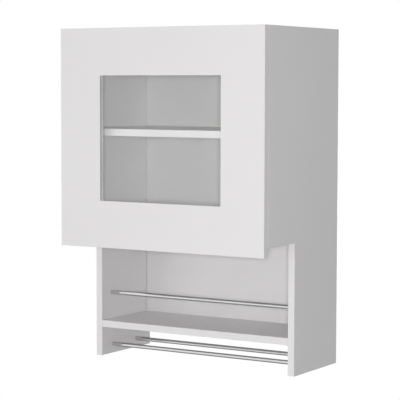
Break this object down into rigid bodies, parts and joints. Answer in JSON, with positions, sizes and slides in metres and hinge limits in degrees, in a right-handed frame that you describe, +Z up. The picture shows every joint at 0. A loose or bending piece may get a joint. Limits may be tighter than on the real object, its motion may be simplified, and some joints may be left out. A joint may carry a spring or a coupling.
{
  "type": "wall cabinet",
  "caption": "White wall cabinet with a framed glass door over an open niche, a guard rod across the niche and hanging rods below its shelf.",
  "frame": {"origin": "middle of the rear face of the hanging rail, in the wall plane", "axes": "+X to the right seen from the room, +Y into the wall, +Z up; the door faces -Y"},
  "size_m": [0.5, 0.32, 0.72],
  "materials": {
    "laminate": "particle board with a satin white melamine face",
    "hardboard": "thin board with a white printed face",
    "pane": "clear float glass",
    "rods": "polished chrome-plated tube",
    "hinge_steel": "nickel-plated pressed steel",
    "fittings": "zinc, dull grey",
    "bumper": "soft translucent pad"
  },
  "bodies": {
    "carcass": {"left_side_panel": "laminate", "right_side_panel": "laminate", "top_panel": "laminate", "cabinet_floor": "laminate", "inner_shelf": "laminate", "lower_shelf": "laminate", "back_panel": "hardboard", "hanging_rail": "laminate", "guard_rod": "rods", "front_hanging_rod": "rods", "rear_hanging_rod": "rods", "shelf_pin_front_left": "hinge_steel", "shelf_pin_front_right": "hinge_steel", "shelf_pin_rear_left": "hinge_steel", "shelf_pin_rear_right": "hinge_steel", "door_bumper_lower": "bumper", "door_bumper_upper": "bumper", "lower_hinge_plate": "hinge_steel", "lower_hinge_arm": "hinge_steel", "upper_hinge_plate": "hinge_steel", "upper_hinge_arm": "hinge_steel", "cam_lock_top_panel_front_left": "fittings", "cam_lock_top_panel_front_right": "fittings", "cam_lock_top_panel_rear_left": "fittings", "cam_lock_top_panel_rear_right": "fittings", "cam_lock_cabinet_floor_front_left": "fittings", "cam_lock_cabinet_floor_front_right": "fittings", "cam_lock_cabinet_floor_rear_left": "fittings", "cam_lock_cabinet_floor_rear_right": "fittings", "cam_lock_lower_shelf_front_left": "fittings", "cam_lock_lower_shelf_front_right": "fittings", "cam_lock_lower_shelf_rear_left": "fittings", "cam_lock_lower_shelf_rear_right": "fittings", "cam_bolt_top_panel_front_left": "fittings", "cam_bolt_top_panel_front_right": "fittings", "cam_bolt_top_panel_rear_left": "fittings", "cam_bolt_top_panel_rear_right": "fittings", "cam_bolt_cabinet_floor_front_left": "fittings", "cam_bolt_cabinet_floor_front_right": "fittings", "cam_bolt_cabinet_floor_rear_left": "fittings", "cam_bolt_cabinet_floor_rear_right": "fittings", "cam_bolt_lower_shelf_front_left": "fittings", "cam_bolt_lower_shelf_front_right": "fittings", "cam_bolt_lower_shelf_rear_left": "fittings", "cam_bolt_lower_shelf_rear_right": "fittings"},
    "hinge_links_outer": {"lower_hinge_outer_link": "hinge_steel", "upper_hinge_outer_link": "hinge_steel"},
    "door": {"door_frame": "laminate", "glass_pane": "pane", "glass_bead_top": "laminate", "glass_bead_bottom": "laminate", "glass_bead_left": "laminate", "glass_bead_right": "laminate", "lower_hinge_cup": "hinge_steel", "upper_hinge_cup": "hinge_steel"},
    "hinge_links_inner": {"lower_hinge_inner_link": "hinge_steel", "upper_hinge_inner_link": "hinge_steel"}
  },
  "joints": [
    {"name": "outer_link_swing", "type": "hinge", "parent": "carcass", "child": "hinge_links_outer", "pos_m": [-0.2212, -0.2877, -0.1812], "axis": [0, 0, 1], "range_deg": [0, 35.15]},
    {"name": "door_swing", "type": "hinge", "parent": "hinge_links_outer", "child": "door", "pos_m": [-0.2414, -0.30875, -0.1812], "axis": [0, 0, -1], "range_deg": [0, 130.15]},
    {"name": "inner_link_swing", "type": "hinge", "parent": "door", "child": "hinge_links_inner", "pos_m": [-0.2375, -0.3132, -0.1812], "axis": [0, 0, 1], "range_deg": [0, 114]}
  ],
  "couplings": [
    {"joint": "outer_link_swing", "follows": "door_swing", "ratio": 0.27007},
    {"joint": "inner_link_swing", "follows": "door_swing", "ratio": 0.87591}
  ]
}
